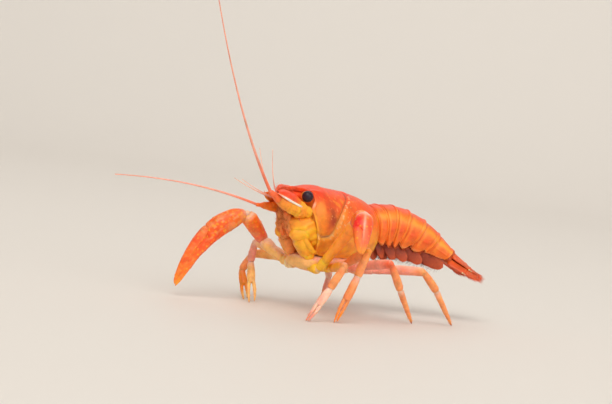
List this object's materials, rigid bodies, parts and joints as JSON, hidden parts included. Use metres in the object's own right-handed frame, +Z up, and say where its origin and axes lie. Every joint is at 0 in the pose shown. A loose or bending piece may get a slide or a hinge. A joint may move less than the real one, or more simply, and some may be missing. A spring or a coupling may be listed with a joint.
{
  "type": "orange dwarf crayfish model",
  "caption": "Still, life-size orange dwarf crayfish standing on its walking legs, with a long claw reaching forward and down and its feelers spread.",
  "frame": {"origin": "on the floor, under the middle of the whole animal's outline, feelers included", "axes": "+X towards the tail, -X towards the head, -Y the animal's left side, +Z up from the floor"},
  "size_m": [0.0448, 0.0258, 0.0347],
  "materials": {
    "carapace_shell": "smooth hard shell, wet gloss",
    "abdomen_shell": "smooth hard shell, wet gloss",
    "tail_shell": "thin shell plates with a hair fringe",
    "claw_shell": "smooth hard shell, wet gloss",
    "orange_leg_shell": "smooth hard shell, wet gloss",
    "pale_leg_shell": "smooth hard shell, wet gloss",
    "mouthpart": "smooth shell, satin",
    "underside": "soft skin and thin shell, satin",
    "feeler": "fine ringed feeler, satin",
    "scale_shell": "thin clear shell",
    "eye": "glossy black cornea"
  },
  "bodies": {
    "root": {"abdomen_1": "abdomen_shell", "abdomen_2": "abdomen_shell", "abdomen_3": "abdomen_shell", "abdomen_4": "abdomen_shell", "abdomen_5": "abdomen_shell", "abdomen_6": "abdomen_shell", "antenna_base_left": "mouthpart", "antenna_base_right": "mouthpart", "antenna_whip_left": "feeler", "antenna_whip_right": "feeler", "antennal_scale_left": "scale_shell", "antennal_scale_right": "scale_shell", "antennule_left": "feeler", "antennule_right": "feeler", "carapace": "carapace_shell", "claw_left_arm": "claw_shell", "claw_left_finger": "claw_shell", "claw_left_hand": "claw_shell", "claw_left_wrist": "claw_shell", "claw_right_arm": "claw_shell", "claw_right_finger": "claw_shell", "claw_right_hand": "claw_shell", "claw_right_wrist": "claw_shell", "eye_left": "eye", "eye_right": "eye", "eyestalk_left": "carapace_shell", "eyestalk_right": "carapace_shell", "leg_2_left_foot": "pale_leg_shell", "leg_2_left_middle": "pale_leg_shell", "leg_2_left_upper": "pale_leg_shell", "leg_2_right_foot": "pale_leg_shell", "leg_2_right_middle": "pale_leg_shell", "leg_2_right_upper": "pale_leg_shell", "leg_3_left_foot": "orange_leg_shell", "leg_3_left_middle": "orange_leg_shell", "leg_3_left_upper": "orange_leg_shell", "leg_3_right_foot": "orange_leg_shell", "leg_3_right_middle": "orange_leg_shell", "leg_3_right_upper": "orange_leg_shell", "leg_4_left_foot": "pale_leg_shell", "leg_4_left_middle": "pale_leg_shell", "leg_4_left_upper": "pale_leg_shell", "leg_4_right_foot": "pale_leg_shell", "leg_4_right_middle": "pale_leg_shell", "leg_4_right_upper": "pale_leg_shell", "leg_5_left_foot": "orange_leg_shell", "leg_5_left_middle": "orange_leg_shell", "leg_5_left_upper": "orange_leg_shell", "leg_5_right_foot": "orange_leg_shell", "leg_5_right_middle": "orange_leg_shell", "leg_5_right_upper": "orange_leg_shell", "maxilliped_left": "mouthpart", "maxilliped_right": "mouthpart", "mouth": "mouthpart", "telson": "tail_shell", "thorax_floor": "underside", "uropod_inner_left": "tail_shell", "uropod_inner_right": "tail_shell", "uropod_outer_left": "tail_shell", "uropod_outer_right": "tail_shell"}
  },
  "joints": []
}
